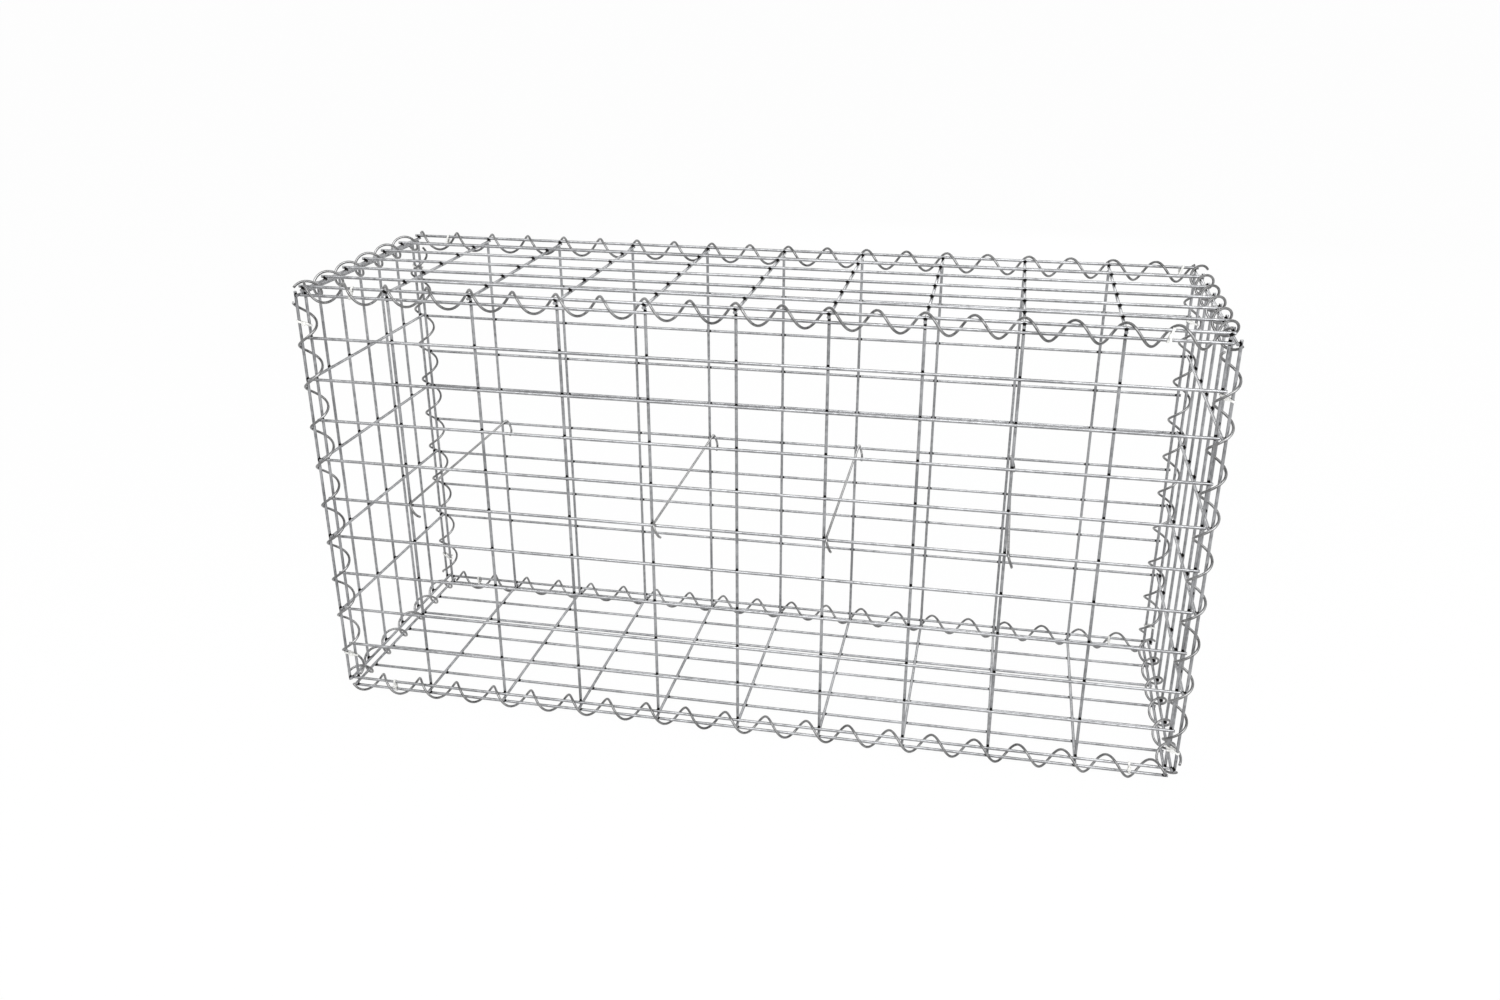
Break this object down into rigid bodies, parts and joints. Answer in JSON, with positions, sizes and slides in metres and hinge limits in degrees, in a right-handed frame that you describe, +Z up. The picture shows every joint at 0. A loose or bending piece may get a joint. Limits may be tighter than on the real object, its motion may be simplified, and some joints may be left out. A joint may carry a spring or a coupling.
{
  "type": "gabion basket",
  "caption": "Closed wire-mesh basket, laced along every edge by wire spirals and held in shape by inner tie wires, to be filled with stone as a wall unit.",
  "frame": {"origin": "centre of the basket's footprint, on the ground under its two long bottom spirals", "axes": "+X along the basket, front panel facing -Y, +Z up to the lid"},
  "size_m": [1.0361, 0.3276, 0.5353],
  "materials": {
    "mesh_wire": "galvanised",
    "spiral_wire": "galvanised",
    "tie_wire": "galvanised"
  },
  "bodies": {
    "root": {"front_panel": "mesh_wire", "back_panel": "mesh_wire", "left_end_panel": "mesh_wire", "right_end_panel": "mesh_wire", "bottom_panel": "mesh_wire", "lid_panel": "mesh_wire", "lid_front_spiral": "spiral_wire", "lid_back_spiral": "spiral_wire", "bottom_front_spiral": "spiral_wire", "bottom_back_spiral": "spiral_wire", "lid_left_spiral": "spiral_wire", "lid_right_spiral": "spiral_wire", "bottom_left_spiral": "spiral_wire", "bottom_right_spiral": "spiral_wire", "front_left_spiral": "spiral_wire", "front_right_spiral": "spiral_wire", "back_left_spiral": "spiral_wire", "back_right_spiral": "spiral_wire", "spacer_tie_1": "tie_wire", "spacer_tie_2": "tie_wire", "spacer_tie_3": "tie_wire", "spacer_tie_4": "tie_wire"}
  },
  "joints": []
}
